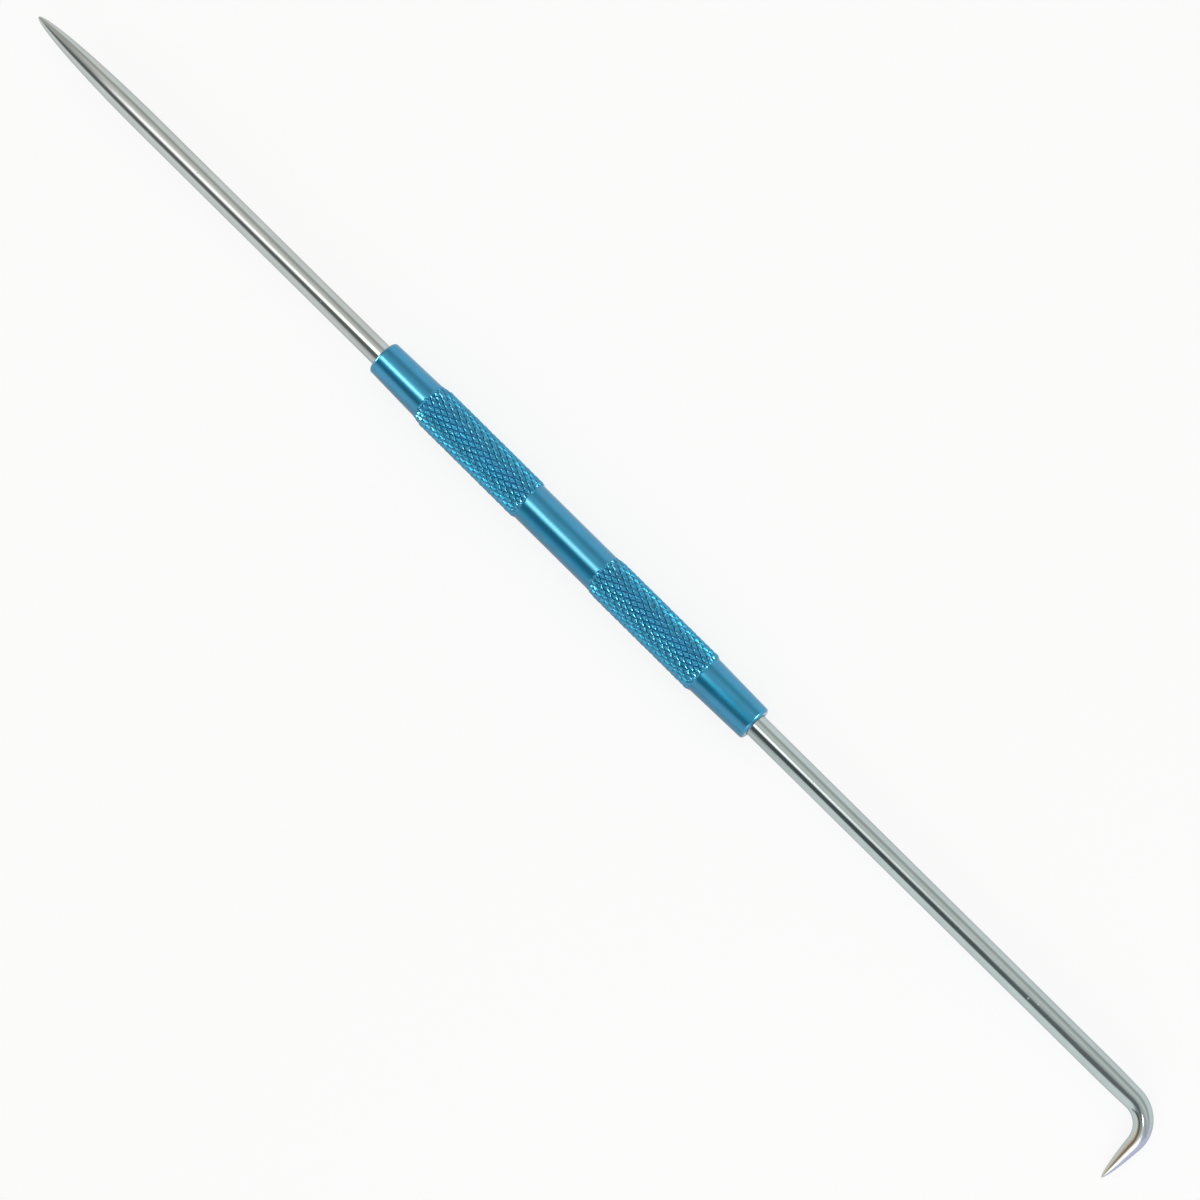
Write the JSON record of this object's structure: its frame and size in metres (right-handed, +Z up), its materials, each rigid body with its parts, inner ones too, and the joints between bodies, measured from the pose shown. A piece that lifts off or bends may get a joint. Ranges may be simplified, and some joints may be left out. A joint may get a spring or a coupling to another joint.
{
  "type": "double-ended scriber",
  "caption": "Slim metalworking scriber: a knurled handle with a straight ground point at one end and a right-angled hook point at the other.",
  "frame": {"origin": "on the table, under the middle of the tool's footprint as it lies on its knurling and its hook's tip", "axes": "+X along the tool towards the hooked end, +Z up from the table, and the hook points towards -Y"},
  "size_m": [0.2054, 0.0128, 0.0059],
  "materials": {
    "blue_anodised": "satin, dyed blue and anodised, with rolled diamond knurling",
    "bright_steel": "bright, ground and polished"
  },
  "bodies": {
    "root": {"handle": "blue_anodised", "straight_point": "bright_steel", "hooked_point": "bright_steel"}
  },
  "joints": []
}
